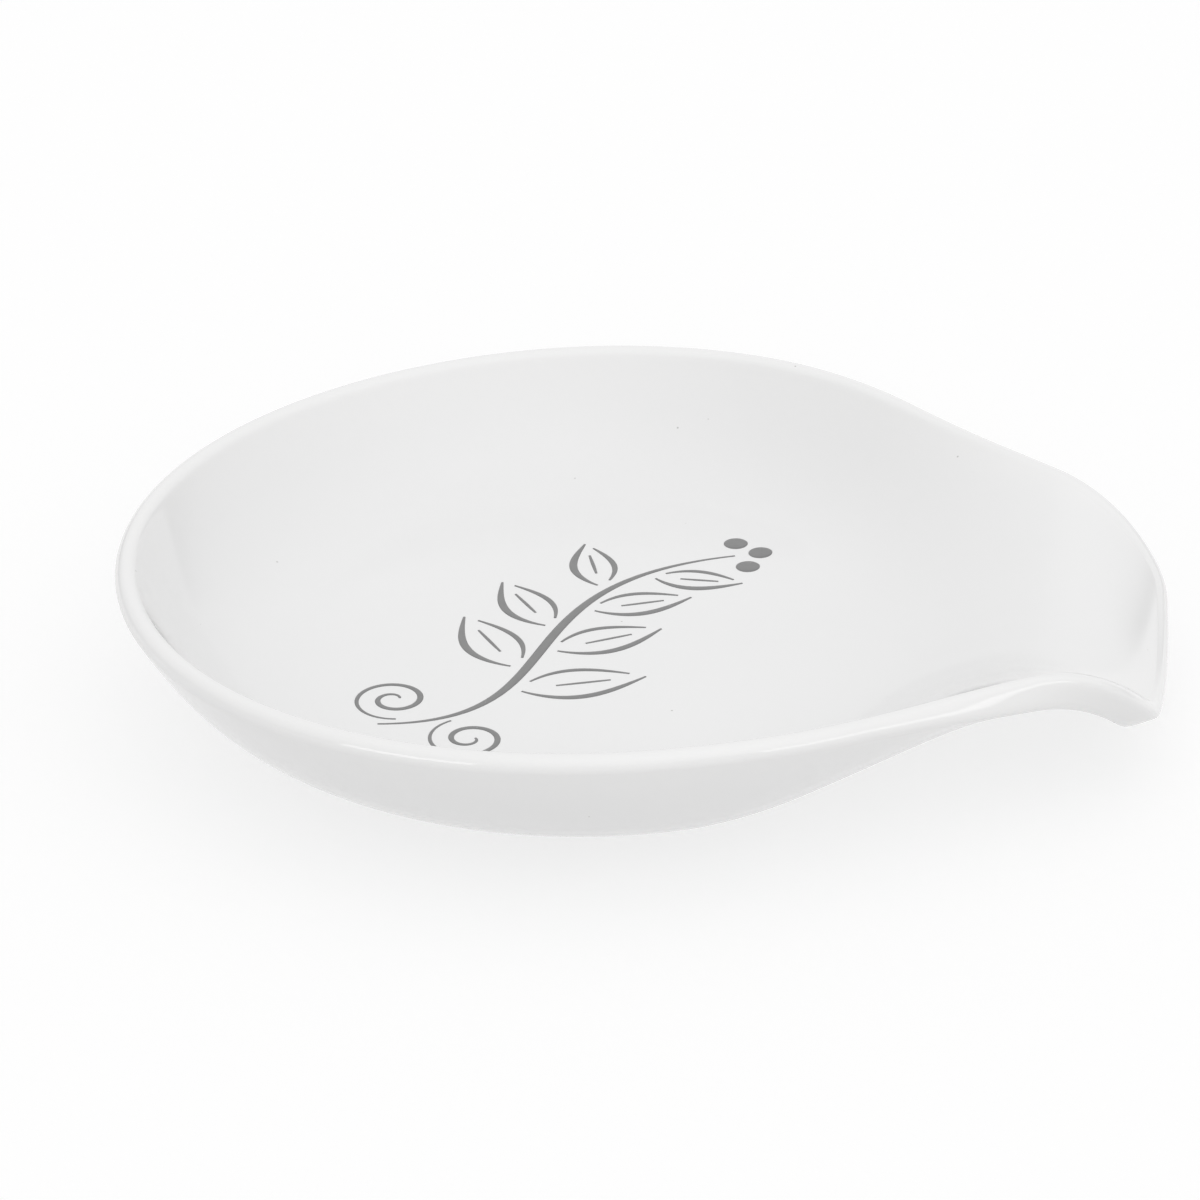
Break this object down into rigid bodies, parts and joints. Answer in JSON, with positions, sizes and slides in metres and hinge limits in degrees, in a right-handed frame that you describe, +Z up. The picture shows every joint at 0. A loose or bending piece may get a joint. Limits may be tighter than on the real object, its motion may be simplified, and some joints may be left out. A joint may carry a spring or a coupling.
{
  "type": "spoon rest",
  "caption": "Round glazed porcelain spoon rest with a shallow bowl, a foot ring and a broad lip that curls down, with a grey leafy sprig printed on its floor.",
  "frame": {"origin": "on the table under the middle of the dish's length and width", "axes": "+X towards the lip, along the dish's length; +Y across the bowl; +Z up"},
  "size_m": [0.1, 0.09, 0.018],
  "materials": {
    "porcelain": "bare fired porcelain, fine matt",
    "glaze": "clear gloss glaze over white porcelain",
    "print_grey": "fired grey print, satin"
  },
  "bodies": {
    "root": {"porcelain_body": "porcelain", "dish_glaze": "glaze", "base_glaze": "glaze", "print_stem": "print_grey", "print_leaves": "print_grey", "print_tendrils": "print_grey", "print_berries": "print_grey"}
  },
  "joints": []
}
